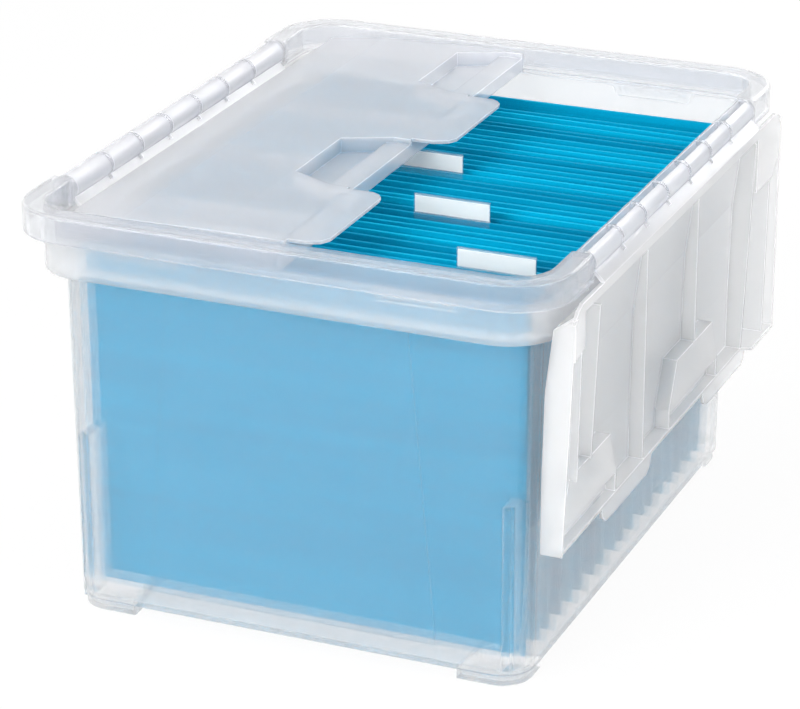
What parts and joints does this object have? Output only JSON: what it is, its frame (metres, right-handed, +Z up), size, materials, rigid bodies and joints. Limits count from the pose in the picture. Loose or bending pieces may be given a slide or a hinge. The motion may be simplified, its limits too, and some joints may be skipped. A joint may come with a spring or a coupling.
{
  "type": "portable file box",
  "caption": "Translucent plastic file tub with a two-winged hinged lid and a row of hanging folders on steel rods.",
  "frame": {"origin": "centre of the rest-pose bounding box in X and Y, at the underside of the feet", "axes": "+X across the hinges from the shut wing to the open wing, +Y along the row of folders from front to back, +Z up"},
  "size_m": [0.372, 0.457, 0.2795],
  "materials": {
    "polypropylene": "translucent, satin",
    "folder_card": "matt coloured card",
    "rod_steel": "satin",
    "clear_plastic": "clear, glossy",
    "paper": "matt"
  },
  "bodies": {
    "tub": {"tub": "polypropylene"},
    "wing_left": {"wing_left": "polypropylene"},
    "wing_right": {"wing_right": "polypropylene"},
    "folder_01": {"folder_01": "folder_card", "rods_01": "rod_steel"},
    "folder_02": {"folder_02": "folder_card", "rods_02": "rod_steel"},
    "folder_03": {"folder_03": "folder_card", "rods_03": "rod_steel", "tab_1": "clear_plastic", "insert_1": "paper"},
    "folder_04": {"folder_04": "folder_card", "rods_04": "rod_steel"},
    "folder_05": {"folder_05": "folder_card", "rods_05": "rod_steel"},
    "folder_06": {"folder_06": "folder_card", "rods_06": "rod_steel"},
    "folder_07": {"folder_07": "folder_card", "rods_07": "rod_steel", "tab_2": "clear_plastic", "insert_2": "paper"},
    "folder_08": {"folder_08": "folder_card", "rods_08": "rod_steel"},
    "folder_09": {"folder_09": "folder_card", "rods_09": "rod_steel"},
    "folder_10": {"folder_10": "folder_card", "rods_10": "rod_steel"},
    "folder_11": {"folder_11": "folder_card", "rods_11": "rod_steel", "tab_3": "clear_plastic", "insert_3": "paper"},
    "folder_12": {"folder_12": "folder_card", "rods_12": "rod_steel"},
    "folder_13": {"folder_13": "folder_card", "rods_13": "rod_steel"},
    "folder_14": {"folder_14": "folder_card", "rods_14": "rod_steel"},
    "folder_15": {"folder_15": "folder_card", "rods_15": "rod_steel"},
    "folder_16": {"folder_16": "folder_card", "rods_16": "rod_steel"},
    "folder_17": {"folder_17": "folder_card", "rods_17": "rod_steel"},
    "folder_18": {"folder_18": "folder_card", "rods_18": "rod_steel"}
  },
  "joints": [
    {"name": "wing_left_hinge", "type": "hinge", "parent": "tub", "child": "wing_left", "pos_m": [-0.17765, 0, 0.2711], "axis": [0, -1, 0], "range_deg": [0, 270]},
    {"name": "wing_right_hinge", "type": "hinge", "parent": "tub", "child": "wing_right", "pos_m": [0.17235, 0, 0.2711], "axis": [0, -1, 0], "range_deg": [0, 270]},
    {"name": "folder_01_slide", "type": "slide", "parent": "tub", "child": "folder_01", "axis": [0, 1, 0], "range_m": [-0.003, 0.0036]},
    {"name": "folder_02_slide", "type": "slide", "parent": "tub", "child": "folder_02", "axis": [0, 1, 0], "range_m": [-0.0036, 0.0032]},
    {"name": "folder_03_slide", "type": "slide", "parent": "tub", "child": "folder_03", "axis": [0, 1, 0], "range_m": [-0.0032, 0.0036]},
    {"name": "folder_04_slide", "type": "slide", "parent": "tub", "child": "folder_04", "axis": [0, 1, 0], "range_m": [-0.0036, 0.0036]},
    {"name": "folder_05_slide", "type": "slide", "parent": "tub", "child": "folder_05", "axis": [0, 1, 0], "range_m": [-0.0036, 0.0036]},
    {"name": "folder_06_slide", "type": "slide", "parent": "tub", "child": "folder_06", "axis": [0, 1, 0], "range_m": [-0.0036, 0.0032]},
    {"name": "folder_07_slide", "type": "slide", "parent": "tub", "child": "folder_07", "axis": [0, 1, 0], "range_m": [-0.0032, 0.0036]},
    {"name": "folder_08_slide", "type": "slide", "parent": "tub", "child": "folder_08", "axis": [0, 1, 0], "range_m": [-0.0036, 0.0036]},
    {"name": "folder_09_slide", "type": "slide", "parent": "tub", "child": "folder_09", "axis": [0, 1, 0], "range_m": [-0.0036, 0.0036]},
    {"name": "folder_10_slide", "type": "slide", "parent": "tub", "child": "folder_10", "axis": [0, 1, 0], "range_m": [-0.0036, 0.0032]},
    {"name": "folder_11_slide", "type": "slide", "parent": "tub", "child": "folder_11", "axis": [0, 1, 0], "range_m": [-0.0032, 0.0036]},
    {"name": "folder_12_slide", "type": "slide", "parent": "tub", "child": "folder_12", "axis": [0, 1, 0], "range_m": [-0.0036, 0.0036]},
    {"name": "folder_13_slide", "type": "slide", "parent": "tub", "child": "folder_13", "axis": [0, 1, 0], "range_m": [-0.0036, 0.0036]},
    {"name": "folder_14_slide", "type": "slide", "parent": "tub", "child": "folder_14", "axis": [0, 1, 0], "range_m": [-0.0036, 0.0036]},
    {"name": "folder_15_slide", "type": "slide", "parent": "tub", "child": "folder_15", "axis": [0, 1, 0], "range_m": [-0.0036, 0.0036]},
    {"name": "folder_16_slide", "type": "slide", "parent": "tub", "child": "folder_16", "axis": [0, 1, 0], "range_m": [-0.0036, 0.0036]},
    {"name": "folder_17_slide", "type": "slide", "parent": "tub", "child": "folder_17", "axis": [0, 1, 0], "range_m": [-0.0036, 0.0036]},
    {"name": "folder_18_slide", "type": "slide", "parent": "tub", "child": "folder_18", "axis": [0, 1, 0], "range_m": [-0.0036, 0.0065]}
  ]
}
